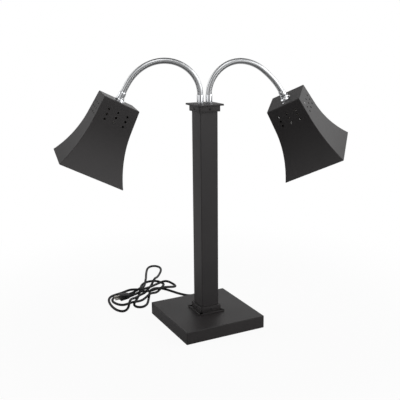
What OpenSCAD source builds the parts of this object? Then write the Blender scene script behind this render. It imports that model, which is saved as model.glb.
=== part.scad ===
// Food heat lamp: two square flared shades on bending necks, on a post with a weighted base.
// The origin is the middle of the base on the surface that it stands on. -Y is the front.

/* [Base] */
// Side of the square base
base_w = 240; // [220:5:300]
// Height of the folded base shell
base_h = 35; // [32:1:60]
// Sheet thickness of the base shell
base_wall = 1.5; // [1.2:0.1:2.5]
// Radius of the base's upright corners
base_corner_r = 2; // [1.5:0.5:10]
// How far the shell stays above the surface
base_lift = 1.5; // [1:0.5:4]
// Thickness of the bottom plate
bottom_t = 1.5; // [1:0.1:3]
// How far the bottom plate sits inside the shell's lower edge
bottom_inset = 1.5; // [0.5:0.5:4]
// Distance from the rubber mat's edge to the side of the base
mat_inset = 25; // [20:1:30]
// Distance from the ballast plate's edge to the side of the base
ballast_inset = 38; // [36:1:50]
// Thickness of the ballast plate
ballast_t = 16; // [8:1:16]
// Radius of the cable hole through the ballast plate
ballast_hole_r = 30; // [20:1:40]
// Distance of each ballast screw from the edges of its plate
ballast_screw_in = 12; // [8:1:20]

/* [Post] */
// Side of the square tube
post_w = 52; // [44:1:57]
// Wall of the square tube
post_wall = 1.5; // [1.2:0.1:3]
// Outer corner radius of the tube
post_corner_r = 2; // [1:0.5:5]
// Height of the top cap's upper face above the surface
cap_top_z = 624; // [500:1:800]

/* [Collars] */
// Side of a collar's square box
collar_w = 63; // [58:0.5:66]
// Height of a collar with its flange
collar_h = 20; // [16:0.5:40]
// Side of a collar's square flange
flange_w = 77; // [75:0.5:90]
// Thickness of a collar's flange
flange_t = 4.5; // [3:0.5:8]
// Roof of the top cap above the end of the post
cap_roof_t = 3; // [2:0.5:6]
// Radius of a collar screw's head
collar_screw_head_r = 3.2; // [2.5:0.1:4]
// Distance of each foot flange screw from the middle, along X and Y
flange_screw_at = 33.5; // [32:0.5:35]

/* [Necks] */
// Distance of each neck from the middle of the cap
neck_x = 13; // [12:0.5:16]
// Radius over the ribs of a neck
neck_r = 7.9; // [7:0.1:9]
// Depth of the grooves between the ribs
rib_depth = 0.8; // [0.4:0.1:1]
// Spacing of the ribs
rib_pitch = 4.1; // [3.5:0.1:8]
// Radius of a neck's bore
neck_bore_r = 3.4; // [2.5:0.1:4]
// Length of the bending part of a neck
flex_len = 286; // [250:1:330]
// Half angle that each neck joint is opened by, for bending
joint_open = 6.6; // [5:0.2:8]
// Direction of the left neck about the post, from +X
left_turned = 162.6; // [140:0.2:200]
// Direction of the right neck about the post, from +X
right_turned = -10.7; // [-40:0.1:40]

/* [Ferrules] */
// Radius of a lower ferrule
lower_ferrule_r = 9; // [8.6:0.1:11]
// Length of a lower ferrule
lower_ferrule_h = 24; // [16:1:40]
// Radius of an upper ferrule
upper_ferrule_r = 9.5; // [9:0.1:12]
// Length of an upper ferrule
upper_ferrule_h = 15; // [10:1:24]
// Radius of the threaded nipples
nipple_r = 5; // [4.5:0.1:6]
// Bore of the threaded nipples
nipple_bore_r = 3.4; // [2.5:0.1:4]
// Radius of the lock nuts, across corners
locknut_r = 9.4; // [8:0.1:10.5]
// Thickness of the lock nuts
locknut_t = 4; // [3:0.5:6]
// Radius of the head collar's foot
head_collar_r = 15; // [13:0.5:20]
// Height of the whole head collar
head_collar_h = 11; // [8:0.5:16]

/* [Shade] */
// Half of the shade's width at its top
shade_top_half = 48.6; // [46:0.2:56]
// Height of the shade
shade_h = 198.5; // [190:0.5:220]
// Height of the plain upper part, which tapers straight
shade_straight_h = 60; // [30:1:90]
// Taper of the plain upper part, from upright
shade_taper = 3.2; // [1:0.2:6]
// Radius of the flare below the plain part
shade_flare_r = 365; // [320:5:500]
// Sheet thickness of the shade
shade_wall = 1; // [0.8:0.1:1.5]
// Thickness of the shade's top plate
shade_top_t = 1.5; // [1:0.1:3]
// Radius of a vent hole
vent_r = 3; // [2:0.1:4]
// Spacing of the vent holes across a face
vent_dx = 26; // [20:0.5:30]
// Spacing of the vent rows down a face
vent_dz = 13.5; // [10:0.5:16]
// Depth of the first vent row below the top
vent_first = 25; // [10:0.5:26]
// Distance of each top screw from the middle of the shade
top_screw_at = 33; // [28:0.5:40]

/* [Lamp] */
// Radius of the reflector bulb
bulb_r = 63.5; // [47.5:0.5:65]
// Depth of the bulb's face below the shade's top plate
bulb_face_depth = 184; // [178:1:188]
// Thickness of the bulb's glass
glass_t = 1; // [0.7:0.1:1.5]
// Radius of the porcelain lamp holder
holder_r = 21; // [19:0.5:24]
// Length of the porcelain lamp holder
holder_h = 40; // [36:1:44]
// Depth of the lamp holder's top below the shade's top plate
holder_depth = 14; // [12:0.5:18]
// Radius of the bulb's screw cap
bulb_cap_r = 13; // [12:0.1:13.4]

/* [Switch and lead] */
// Distance of the rocker switch from the middle of the back face
switch_x = 60; // [50:1:80]
// Width of the rocker switch's panel opening
switch_w = 19; // [17:0.5:22]
// Height of the rocker switch's panel opening
switch_h = 13; // [11:0.5:15]
// Angle of the rocker on each side of its middle
rocker_tilt = 8; // [5:0.5:10]
// Diameter of the mains lead
lead_d = 7.5; // [6.5:0.5:8]
// Length of the gland's tapered boot outside the base
boot_l = 28; // [20:1:40]

/* [Hidden] */
SIDES = ["left", "right"];

// Clearances: between bodies, for a turning fit, and between a thread and its nut
gap = 0.3;
fit = 0.08;
thread_gap = 0.05;
eps = 0.01;
fine = 64;

// Heights in the base
base_top_z = base_lift + base_h;
bottom_z = base_lift + bottom_inset;
floor_z = bottom_z + bottom_t;
roof_z = base_top_z - base_wall;
inner_w = base_w - 2 * base_wall;
mat_w = base_w - 2 * mat_inset;
mat_corner_r = 8;
ballast_w = base_w - 2 * ballast_inset;
ballast_screw_at = ballast_w / 2 - ballast_screw_in;
stud_at = base_w / 2 - 12;
stud_r = 5;
m4_r = 2;
m4_tap_r = m4_r + thread_gap;
screw_head_r = 3.8;
screw_head_h = 1.6;
cable_hole_r = 12;
base_inner_r = max(base_corner_r - base_wall, 0.5);
post_inner_r = max(post_corner_r - post_wall, 0.5);

// Post and collars
post_top_z = cap_top_z - cap_roof_t - gap;
collar_hole_w = post_w + 2 * gap;
collar_screw_r = 2;
collar_screw_head_h = 1.4;
collar_screw_z = (collar_h + flange_t) / 2;

// Necks: six lengths on five hinges, the two end lengths half as long as the others
LENGTHS = [0.1, 0.2, 0.2, 0.2, 0.2, 0.1];
LEFT_TURNS = [19, 37, 33, 31, 27.5, 5.5];
RIGHT_TURNS = [21.5, 36, 38.5, 30, 14, 9];
LEFT_TWIST = -172.6;
RIGHT_TWIST = -35.1;
ring_sides = 8;
neck_core_r = neck_r - rib_depth;
neck_in_ferrule = 0.35;
neck_seat = lower_ferrule_h - 4;
upper_seat = upper_ferrule_h - 3;
nose_r = 5.2;
socket_r = 6;

// Heads, from the shade's top plate
nipple_below = 8.5;
collar_neck_r = 11;
collar_foot_h = 5;

// Lamp holder and bulb
bracket_t = 1.5;
bracket_w = 20;
bracket_z = -shade_top_t - bracket_t;
holder_wall = 4;
holder_flat = 19.5;
flat_h = 16;
shell_r = bulb_cap_r + thread_gap;
shell_t = 0.6;
bulb_neck_r = 13.6;
bulb_dome = 24;
cap_l = 24;
stem_l = 40;
contact_depth = holder_depth + holder_wall + 5;
cap_depth = contact_depth + 3;

// Switch, gland, lead and plug
bezel = 1.5;
bezel_t = 2;
switch_z = (floor_z + roof_z) / 2;
switch_body_d = 14;
rocker_r = 4;
pin_r = 1.2;
gland_x = 48;
gland_z = 17;
gland_r = 7;
gland_in = 6;
lead_r = lead_d / 2;
terminal_l = 34;
terminal_w = 14;
terminal_h = 13;
terminal_y = base_w / 2 - 16;
terminal_z = floor_z + 6;
TERMINALS = [-11, 0, 11];
strand_r = 1.1;
sheath_r = 2;
over_ballast_z = floor_z + ballast_t + 3.5;
lead_in = base_w / 2 + boot_l;
plug_l = 32;
plug_w = 26;
plug_h = 20;
plug_boot_l = 16;
blade_l = 16;

// The lead's route on the surface, in loose loops behind the base. The third number of a point is
// how many thicknesses of the lead lie below it.
from_gland = (gland_z - lead_r) / lead_d;
to_plug = (plug_h / 2 - lead_r) / lead_d;
ROUTE = [
    [gland_x, lead_in, from_gland], [gland_x, lead_in + 9, from_gland],
    [45, 169, 0.95], [37, 181, 0.15], [26, 196, 0], [14, 217, 0],
    [5, 240, 0], [-4, 262, 0], [-14, 282, 0], [-30, 296, 0], [-48, 292, 0], [-62, 274, 0],
    [-73, 250, 0], [-85, 226, 0], [-97, 202, 0], [-110, 180, 0], [-128, 168, 0], [-146, 178, 0],
    [-146, 201, 0], [-130, 224, 0], [-113, 246, 0], [-99, 270, 0], [-85, 298, 0], [-69, 332, 0],
    [-49, 356, 0], [-22, 363, 0], [0, 348, 0.15], [6, 320, 0], [-4, 290, 1.1], [-24, 268, 1.15],
    [-48, 251, 0], [-74, 237, 1.85], [-100, 222, 0.15], [-126, 206, 0.55], [-152, 197, 1.55],
    [-175, 206, 0], [-191, 230, 0], [-195, 257, 0], [-184, 280, 0], [-160, 287, 0.1],
    [-132, 284, 0], [-106, 285, 0.65], [-80, 297, 1.65], [-60, 320, 0], [-43, 352, 1.9],
    [-28, 386, 0], [-14, 420, 0], [2, 454, 0], [20, 488, 0], [45, 500, 0], [63, 476, 0],
    [52, 440, 0], [31, 409, 0], [10, 380, 0], [-12, 350, 1.85], [-35, 322, 0], [-58, 295, 0.35],
    [-80, 269, 0], [-102, 248, 1.15], [-126, 231, 0.9], [-148, 213, 2.05], [-162, 191, 2.3],
    [-173, 170, 0.65], [-191, 162, 0], [-206, 178, 0.15], [-209, 207, 0], [-208, 236, 0],
    [-203, 264, 0], [-192, 289, 0.1], [-170, 302, 0], [-145, 301, 0.25], [-121, 288, 2.1],
    [-95, 278, 1.5], [-66, 284, 1.3], [-40, 298, 1.1], [-13, 311, 1.15], [14, 312, 1.85],
    [34, 299, 0], [34, 277, 0], [14, 265, 0.75], [-14, 261, 1.65], [-42, 258, 1.75],
    [-70, 258, 1.05], [-96, 262, 1.9], [-112, 262, to_plug], [-120, 262, to_plug]];
sharp_turn = 36;

// A square with round corners
module rounded_square(w, r) {
    square([w - 2 * r, w], center = true);
    square([w, w - 2 * r], center = true);
    for (x = [-1, 1], y = [-1, 1])
        translate([x * (w / 2 - r), y * (w / 2 - r)]) circle(r = r, $fn = fine);
}

// Copies at the four corners of a square
module four(at) {
    for (x = [-1, 1], y = [-1, 1]) translate([x * at, y * at, 0]) children();
}

// Copies on the four faces, each turned to look outwards along +X
module faces() {
    for (a = [0:90:270]) rotate([0, 0, a]) children();
}

// A hollow cylinder standing on z = 0
module tube(r, bore, h) {
    difference() {
        cylinder(r = r, h = h, $fn = fine);
        translate([0, 0, -eps]) cylinder(r = bore, h = h + 2 * eps, $fn = fine);
    }
}

module base_shell() color("#1b1b1d") {
    difference() {
        translate([0, 0, base_lift])
            linear_extrude(base_h) rounded_square(base_w, base_corner_r);
        translate([0, 0, base_lift - eps])
            linear_extrude(base_h - base_wall + eps) rounded_square(inner_w, base_inner_r);
        translate([0, 0, roof_z - eps]) cylinder(r = cable_hole_r, h = base_wall + 2 * eps, $fn = fine);
        four(flange_screw_at)
            translate([0, 0, roof_z - eps]) cylinder(r = m4_r + gap, h = base_wall + 2 * eps, $fn = fine);
        translate([-switch_x, base_w / 2 - base_wall / 2, switch_z])
            cube([switch_w, base_wall + 2 * eps, switch_h], center = true);
        translate([gland_x, base_w / 2 + eps, gland_z]) rotate([90, 0, 0])
            cylinder(r = gland_r + fit, h = base_wall + 2 * eps, $fn = fine);
    }
    four(stud_at) difference() {
        translate([0, 0, floor_z]) cylinder(r = stud_r, h = roof_z - floor_z + eps, $fn = fine);
        translate([0, 0, floor_z - eps]) cylinder(r = m4_tap_r, h = 14, $fn = fine);
    }
}

module bottom_plate() color("#4a4c50") {
    difference() {
        translate([0, 0, bottom_z])
            linear_extrude(bottom_t) rounded_square(inner_w - 2 * gap, base_inner_r);
        four(stud_at)
            translate([0, 0, bottom_z - eps]) cylinder(r = m4_r + gap, h = bottom_t + 2 * eps, $fn = fine);
        four(ballast_screw_at)
            translate([0, 0, bottom_z - eps]) cylinder(r = m4_r + gap, h = bottom_t + 2 * eps, $fn = fine);
    }
}

// A pan-head screw under the bottom plate, pointing up
module plate_screw(l) {
    translate([0, 0, bottom_z - screw_head_h]) cylinder(r = screw_head_r, h = screw_head_h, $fn = fine);
    translate([0, 0, bottom_z - eps]) cylinder(r = m4_r, h = l + eps, $fn = fine);
}

module bottom_screws() color("#8d9094") four(stud_at) plate_screw(10);

// The mat is glued below the bottom plate and leaves the ballast plate's screw heads free
module rubber_mat() color("#141414") difference() {
    linear_extrude(bottom_z) rounded_square(mat_w, mat_corner_r);
    four(ballast_screw_at) translate([0, 0, -eps])
        cylinder(r = screw_head_r + 2, h = bottom_z + 2 * eps, $fn = fine);
}

module ballast_plate() color("#3b3d3f") {
    difference() {
        translate([-ballast_w / 2, -ballast_w / 2, floor_z]) cube([ballast_w, ballast_w, ballast_t]);
        translate([0, 0, floor_z - eps])
            cylinder(r = ballast_hole_r, h = ballast_t + 2 * eps, $fn = fine);
        four(ballast_screw_at)
            translate([0, 0, floor_z - eps]) cylinder(r = m4_tap_r, h = ballast_t - 2, $fn = fine);
    }
}

module ballast_screws() color("#8d9094") four(ballast_screw_at) plate_screw(8);

module post() color("#1e1e20") {
    translate([0, 0, base_top_z]) linear_extrude(post_top_z - base_top_z) difference() {
        rounded_square(post_w, post_corner_r);
        rounded_square(post_w - 2 * post_wall, post_inner_r);
    }
}

// A flanged collar standing on its flange at z = 0, without its inside
module collar_body() {
    linear_extrude(flange_t) rounded_square(flange_w, 2);
    translate([0, 0, flange_t - eps])
        linear_extrude(collar_h - flange_t + eps) rounded_square(collar_w, 3);
}

// The threaded hole for a collar screw in each face
module collar_screw_holes() {
    faces() translate([post_w / 2, 0, collar_screw_z]) rotate([0, 90, 0])
        cylinder(r = collar_screw_r + thread_gap, h = collar_w, $fn = fine);
}

// A collar screw in each face, its tip against the post
module collar_screw_set() {
    faces() translate([post_w / 2 + gap, 0, collar_screw_z]) rotate([0, 90, 0]) {
        cylinder(r = collar_screw_r, h = (collar_w - post_w) / 2 - gap + eps, $fn = fine);
        translate([0, 0, (collar_w - post_w) / 2 - gap])
            cylinder(r = collar_screw_head_r, h = collar_screw_head_h, $fn = fine);
    }
}

module foot_collar() color("#1a1a1c") translate([0, 0, base_top_z]) difference() {
    collar_body();
    translate([0, 0, -eps]) linear_extrude(collar_h + 2 * eps) rounded_square(collar_hole_w, post_corner_r);
    collar_screw_holes();
    four(flange_screw_at) translate([0, 0, -eps])
        cylinder(r = m4_tap_r, h = flange_t - 1, $fn = fine);
}

module foot_collar_screws() color("#2a2a2c") translate([0, 0, base_top_z]) collar_screw_set();

module foot_flange_screws() color("#8d9094") four(flange_screw_at) {
    translate([0, 0, roof_z - screw_head_h]) cylinder(r = screw_head_r, h = screw_head_h, $fn = fine);
    translate([0, 0, roof_z - eps]) cylinder(r = m4_r, h = base_wall + flange_t - 1.5 + eps, $fn = fine);
}

// The cap is the same collar upside down, with a roof
module top_cap() color("#1a1a1c") translate([0, 0, cap_top_z]) difference() {
    mirror([0, 0, 1]) collar_body();
    translate([0, 0, -collar_h - eps])
        linear_extrude(collar_h - cap_roof_t + eps) rounded_square(collar_hole_w, post_corner_r);
    mirror([0, 0, 1]) collar_screw_holes();
    for (x = [-neck_x, neck_x]) translate([x, 0, -cap_roof_t - eps])
        cylinder(r = nipple_r + thread_gap, h = cap_roof_t + 2 * eps, $fn = fine);
}

module top_cap_screws() color("#2a2a2c")
    translate([0, 0, cap_top_z]) mirror([0, 0, 1]) collar_screw_set();

// A lower ferrule: a cup for the neck's end over a threaded nipple through the cap
module lower_ferrule(x) color("#d7d9dc") translate([x, 0, cap_top_z]) difference() {
    union() {
        cylinder(r = lower_ferrule_r, h = lower_ferrule_h, $fn = fine);
        translate([0, 0, -cap_roof_t - locknut_t - 2])
            cylinder(r = nipple_r, h = cap_roof_t + locknut_t + 2 + eps, $fn = fine);
    }
    translate([0, 0, lower_ferrule_h - neck_seat])
        cylinder(r = neck_r + fit, h = neck_seat + eps, $fn = fine);
    translate([0, 0, -cap_roof_t - locknut_t - 2 - eps])
        cylinder(r = nipple_bore_r, h = lower_ferrule_h + cap_roof_t, $fn = fine);
}

// A six-sided nut, its upper face at z = 0
module lock_nut() {
    difference() {
        translate([0, 0, -locknut_t]) cylinder(r = locknut_r, h = locknut_t, $fn = 6);
        translate([0, 0, -locknut_t - eps])
            cylinder(r = nipple_r + thread_gap, h = locknut_t + 2 * eps, $fn = fine);
    }
}

module neck_lock_nuts() color("#b9bbbe")
    for (x = [-neck_x, neck_x]) translate([x, 0, cap_top_z - cap_roof_t]) rotate([0, 0, 30]) lock_nut();

// A neck's centre line in its upright plane: [outwards, up, heading from outwards]
function arc_step(s, l, t) = let (r = l / (t * PI / 180))
    [s[0] + r * (sin(s[2]) - sin(s[2] - t)), s[1] + r * (cos(s[2] - t) - cos(s[2])), s[2] - t];
function joint_at(turns, k) = k == 0 ? [0, cap_top_z + lower_ferrule_h, 90]
    : arc_step(joint_at(turns, k - 1), LENGTHS[k - 1] * flex_len, turns[k - 1]);
function along(s, d) = [s[0] + d * cos(s[2]), s[1] + d * sin(s[2]), s[2]];
function ring(s, r) = [for (i = [0:ring_sides - 1]) let (a = (i + 0.5) * 360 / ring_sides)
    [s[0] + r * cos(a) * sin(s[2]), r * sin(a), s[1] - r * cos(a) * cos(s[2])]];

// A closed skin through rings of equal size, the last one joined to the first
module ring_skin(rings) {
    n = len(rings[0]);
    m = len(rings);
    polyhedron([for (g = rings) for (p = g) p],
        [for (i = [0:m - 1]) for (j = [0:n - 1])
            let (a = i * n + j, b = i * n + (j + 1) % n, c = (i + 1) % m * n + (j + 1) % n,
                 d = (i + 1) % m * n + j)
            each [[a, b, c], [a, c, d]]]);
}

// One length of a neck. A ball nose enters the ball seat of the length before it.
module neck_length(turns, k) {
    first = k == 1;
    last = k == len(turns);
    start = joint_at(turns, k - 1);
    end = joint_at(turns, k);
    l = LENGTHS[k - 1] * flex_len;
    t = turns[k - 1];
    ribs = round(l / rib_pitch);
    bore_steps = first || last ? 2 : 4;
    open = tan(joint_open);
    lead = first ? 0 : gap / 2 + neck_core_r * open;
    trail = last ? 0 : gap / 2 + neck_core_r * open;
    step = (l - lead - trail) / ribs;
    at = function (d) arc_step(start, max(d, eps), t * max(d, eps) / l);
    stub_r = neck_r - neck_in_ferrule;
    outer = [for (i = [0:ribs - 1]) each [
        ring(at(lead + (i + 0.12) * step), neck_core_r), ring(at(lead + (i + 0.55) * step), neck_r)]];
    finish = [ring(at(l - trail), neck_core_r)];
    nose = first
        ? [ring(along(start, -neck_seat + gap), neck_bore_r), ring(along(start, -neck_seat + gap), stub_r),
           ring(along(start, gap), stub_r)]
        : [ring(along(start, -sqrt(nose_r * nose_r - 16)), neck_bore_r),
           ring(along(start, -sqrt(nose_r * nose_r - 16)), 4), ring(along(start, -0.8), nose_r - 0.1),
           ring(along(start, gap / 2 + nose_r * open), nose_r)];
    seat = last
        ? [ring(end, stub_r), ring(along(end, upper_seat - gap), stub_r),
           ring(along(end, upper_seat - gap), neck_bore_r)]
        : [ring(along(end, -gap / 2 - socket_r * open), socket_r), ring(along(end, -2.4), 5.5),
           ring(along(end, -4.6), 3.9), ring(along(end, -5), neck_bore_r)];
    bore_from = first ? 0 : 3;
    bore_to = last ? l : l - 8;
    bore = [for (i = [bore_steps:-1:0])
        ring(at(bore_from + (bore_to - bore_from) * i / bore_steps), neck_bore_r)];
    color("#c9cbce") ring_skin(concat(nose, outer, finish, seat, bore));
}

// Places a neck's plane: outwards is +X, up is +Z
module in_neck_plane(side) {
    translate([side == "left" ? -neck_x : neck_x, 0, 0])
        rotate([0, 0, side == "left" ? left_turned : right_turned]) children();
}

function turns_of(side) = side == "left" ? LEFT_TURNS : RIGHT_TURNS;

// Places a head: the middle of the shade's top plate at the origin, the shade below it
module at_head(side) {
    head = along(joint_at(turns_of(side), len(LENGTHS)), upper_ferrule_h + head_collar_h);
    in_neck_plane(side) translate([head[0], 0, head[1]]) rotate([0, -90 - head[2], 0])
        rotate([0, 0, side == "left" ? LEFT_TWIST : RIGHT_TWIST]) children();
}

module upper_ferrule(side) color("#d7d9dc") at_head(side) difference() {
    union() {
        translate([0, 0, head_collar_h]) cylinder(r = upper_ferrule_r, h = upper_ferrule_h, $fn = fine);
        translate([0, 0, -nipple_below])
            cylinder(r = nipple_r, h = nipple_below + head_collar_h + eps, $fn = fine);
    }
    translate([0, 0, head_collar_h + upper_ferrule_h - upper_seat])
        cylinder(r = neck_r + fit, h = upper_seat + eps, $fn = fine);
    translate([0, 0, -nipple_below - eps])
        cylinder(r = nipple_bore_r, h = nipple_below + head_collar_h + upper_ferrule_h, $fn = fine);
}

module head_lock_nut(side) color("#b9bbbe") at_head(side)
    translate([0, 0, -shade_top_t - bracket_t - gap]) lock_nut();

module head_collar(side) color("#d7d9dc") at_head(side) {
    tube(head_collar_r, nipple_r + fit, collar_foot_h);
    translate([0, 0, collar_foot_h - eps])
        tube(collar_neck_r, nipple_r + fit, head_collar_h - collar_foot_h - gap + eps);
}

// Half of the shade's side view to the right of the middle, less an inset, as far down as h
module shade_half(inset, h) {
    bend_x = shade_top_half + shade_straight_h * tan(shade_taper);
    side_inset = inset / cos(shade_taper);
    difference() {
        polygon([[0, 0], [shade_top_half - side_inset, 0], [bend_x - side_inset, -shade_straight_h],
            [2 * shade_top_half, -shade_straight_h], [2 * shade_top_half, -h], [0, -h]]);
        translate([bend_x, -shade_straight_h]) rotate([0, 0, shade_taper]) translate([shade_flare_r, 0])
            circle(r = shade_flare_r + inset, $fn = 4 * fine);
    }
}

module shade_block(inset, h) {
    module slab() rotate([90, 0, 0]) linear_extrude(4 * shade_top_half, center = true) {
        shade_half(inset, h);
        mirror([1, 0]) shade_half(inset, h);
    }
    intersection() {
        slab();
        rotate([0, 0, 90]) slab();
    }
}

module shade(side) color("#1c1c1e") at_head(side) difference() {
    shade_block(0, shade_h);
    intersection() {
        shade_block(shade_wall, shade_h + 1);
        translate([0, 0, -shade_top_t - 2 * shade_h]) translate([-shade_h, -shade_h, 0])
            cube([2 * shade_h, 2 * shade_h, 2 * shade_h]);
    }
    translate([0, 0, -shade_top_t - eps])
        cylinder(r = nipple_r + fit, h = shade_top_t + 2 * eps, $fn = fine);
    for (y = [-top_screw_at, top_screw_at]) translate([0, y, -shade_top_t - eps])
        cylinder(r = m4_r + gap, h = shade_top_t + 2 * eps, $fn = fine);
    faces() for (row = [0:2], col = [-1:1])
        translate([shade_top_half - 4, col * vent_dx, -vent_first - row * vent_dz])
            rotate([0, 90, 0]) cylinder(r = vent_r, h = 12, $fn = 32);
}

module shade_screws(side) color("#dcdde0") at_head(side)
    for (y = [-top_screw_at, top_screw_at]) translate([0, y, 0]) {
        cylinder(r = screw_head_r, h = screw_head_h + 0.6, $fn = fine);
        translate([0, 0, bracket_z - 3]) cylinder(r = m4_r, h = 3 - bracket_z + eps, $fn = fine);
    }

// A folded strip under the top plate, with two legs on the flats of the lamp holder
module holder_bracket(side) color("#9da0a4") at_head(side) difference() {
    union() {
        translate([-bracket_w / 2, -top_screw_at - 6, bracket_z])
            cube([bracket_w, 2 * top_screw_at + 12, bracket_t]);
        for (m = [0, 1]) mirror([0, m, 0]) translate([-bracket_w / 2, holder_flat, -holder_depth - flat_h])
            cube([bracket_w, bracket_t, holder_depth + flat_h - shade_top_t - eps]);
    }
    translate([0, 0, bracket_z - eps]) cylinder(r = nipple_r + fit, h = bracket_t + 2 * eps, $fn = fine);
    for (y = [-top_screw_at, top_screw_at]) translate([0, y, bracket_z - eps])
        cylinder(r = m4_tap_r, h = bracket_t + 2 * eps, $fn = fine);
}

// The porcelain holder hangs mouth down. Two holes in its floor pass the leads.
module lamp_holder(side) color("#ece7dc") at_head(side) translate([0, 0, -holder_depth]) difference() {
    translate([0, 0, -holder_h]) cylinder(r = holder_r, h = holder_h, $fn = fine);
    translate([0, 0, -holder_h - eps])
        cylinder(r = shell_r + shell_t + fit, h = holder_h - holder_wall + eps, $fn = fine);
    for (m = [-1, 1]) {
        translate([8 * m, 0, -holder_wall - eps]) cylinder(r = 1.8, h = holder_wall + 2 * eps, $fn = fine);
        translate([0, m * (holder_flat + holder_r) / 2, -flat_h / 2])
            cube([2 * holder_r, holder_r - holder_flat, flat_h + 2 * eps], center = true);
    }
}

module holder_shell(side) color("#c9a24a") at_head(side) translate([0, 0, 0.5 - cap_depth - cap_l])
    tube(shell_r + shell_t, shell_r, cap_depth + cap_l - 0.5 - holder_depth - holder_wall);

module centre_contact(side) color("#c9a24a") at_head(side) translate([0, 0, -contact_depth])
    cylinder(r = 4, h = contact_depth - holder_depth - holder_wall, $fn = fine);

// The screw cap of the bulb: a rounded shell with a contact button
module bulb_cap(side) color("#b8bbbf") at_head(side) translate([0, 0, -cap_depth]) difference() {
    union() {
        cylinder(r = 4.5, h = 3, $fn = fine);
        translate([0, 0, -3]) cylinder(r1 = bulb_cap_r, r2 = 6, h = 3 + eps, $fn = fine);
        translate([0, 0, -cap_l]) cylinder(r = bulb_cap_r, h = cap_l - 3 + eps, $fn = fine);
    }
    translate([0, 0, -cap_l - eps]) cylinder(r = bulb_cap_r - 0.8, h = cap_l - 4, $fn = fine);
}

// The reflector bulb's side view: neck, cone and rounded face, less an inset
function bulb_outline(inset) = let (
    rim = -cap_depth - cap_l,
    top = rim + 6,
    face = -bulb_face_depth + inset,
    r = bulb_r - inset,
    r_neck = bulb_neck_r - inset,
    cone_top = rim - 9,
    cone_end = -bulb_face_depth + bulb_dome)
    concat(
        [[0, top], [bulb_cap_r - 1 - inset, top], [bulb_cap_r - 1 - inset, rim - inset]],
        [[r_neck, rim - inset], [r_neck, cone_top]],
        [for (i = [1:5]) [r_neck + (r - r_neck) * sin(18 * i), cone_top + (cone_end - cone_top) * i / 5]],
        [for (i = [1:6]) [r * cos(15 * i), cone_end - (cone_end - face) * sin(15 * i)]]);

module bulb_glass(side) color("#f3e9dc", 0.6) at_head(side) rotate_extrude($fn = fine) difference() {
    polygon(bulb_outline(0));
    polygon(bulb_outline(glass_t));
    translate([-1, -cap_depth - cap_l]) square([bulb_cap_r - glass_t, 10]);
}

// The filament: a glass stem on a disc in the bulb's neck, two wires and a bar between them
module filament(side) color("#b9b2a6") at_head(side) translate([0, 0, -cap_depth - cap_l + 6]) {
    cylinder(r = bulb_cap_r - 1, h = 1, $fn = fine);
    translate([0, 0, -stem_l]) cylinder(r = 3.5, h = stem_l + eps, $fn = fine);
    for (x = [-2.5, 2.5]) translate([x, 0, -stem_l - 24]) cylinder(r = 0.6, h = 25, $fn = fine);
    translate([-11.5, 0, -stem_l - 24]) rotate([0, 90, 0]) cylinder(r = 1.2, h = 23, $fn = fine);
}

// The switch's frame clips into the wall. The rocker turns on two stub pins in it.
module switch_housing() color("#121212") translate([-switch_x, base_w / 2, switch_z]) difference() {
    union() {
        translate([0, bezel_t / 2, 0])
            cube([switch_w + 2 * bezel, bezel_t, switch_h + 2 * bezel], center = true);
        translate([0, -switch_body_d / 2, 0])
            cube([switch_w - 2 * gap, switch_body_d + 2 * eps, switch_h - 2 * gap], center = true);
    }
    cube([switch_w - 2.2, 2 * bezel_t + 2 * rocker_r + 1.6, switch_h - 2.4], center = true);
    cylinder(r = pin_r + fit, h = switch_h - 0.8, center = true, $fn = fine);
}

// The rocker: a shallow V with a round back, on two stub pins
module switch_rocker() color("#1c1c1c")
    translate([-switch_x, base_w / 2, switch_z]) rotate([0, 0, -rocker_tilt]) {
    half = switch_w / 2 - 1.7;
    depth = switch_h - 3;
    translate([0, 0, -depth / 2]) linear_extrude(depth) {
        polygon([[-half, 0.4], [half, 0.4], [half, 3.4], [0, 3.4 - half * tan(rocker_tilt)], [-half, 3.4]]);
        circle(r = rocker_r, $fn = fine);
    }
    cylinder(r = pin_r, h = switch_h - 1.2, center = true, $fn = fine);
}

module terminal_block() color("#e6e4dc") {
    translate([-terminal_l / 2, terminal_y - terminal_w, floor_z]) difference() {
        cube([terminal_l, terminal_w, terminal_h]);
        for (x = TERMINALS) translate([terminal_l / 2 + x, -eps, terminal_z - floor_z]) rotate([-90, 0, 0])
            cylinder(r = 2.2, h = terminal_w + 2 * eps, $fn = 32);
    }
}

// A lead through the points, with a slightly thicker round at each bend
module lead_run(points, r) {
    for (i = [1:len(points) - 1]) {
        run = points[i] - points[i - 1];
        translate(points[i - 1]) rotate([0, acos(run[2] / norm(run)), atan2(run[1], run[0])])
            cylinder(r = r, h = norm(run), $fn = fine);
        if (i < len(points) - 1) translate(points[i]) sphere(r = 1.08 * r, $fn = fine);
    }
}

// From the gland and the switch to the terminal block, and from there up the post to both necks
module inner_leads() color("#5b5e63") {
    for (i = [0:2]) {
        y = terminal_y + 8 - 2.8 * i;
        z = gland_z + [0.8, -1.2, 0.8][i];
        x = gland_x + [-1.4, 0, 1.4][i];
        lead_run([[x, base_w / 2 - 4, z], [x, y, z], [TERMINALS[i], y, terminal_z],
            [TERMINALS[i], terminal_y - 4, terminal_z]], strand_r);
    }
    for (m = [-1, 1]) {
        y = terminal_y - terminal_w / 2 + 3 * m;
        x = -switch_x - 4 * m;
        back = base_w / 2 - switch_body_d;
        lead_run([[x, back, switch_z], [x, back - 3, switch_z], [x, y, switch_z - 8],
            [-terminal_l / 2, y, switch_z - 8]], strand_r);
        front = terminal_y - terminal_w;
        lead_run([[6 * m, front, terminal_z], [6 * m, front - 4, terminal_z],
            [6 * m, front - 4, over_ballast_z], [6 * m, 8, over_ballast_z], [6 * m, 2, over_ballast_z + 22],
            [neck_x * m, 0, cap_top_z - 40], [neck_x * m, 0, cap_top_z - cap_roof_t]], sheath_r);
    }
}

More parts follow.
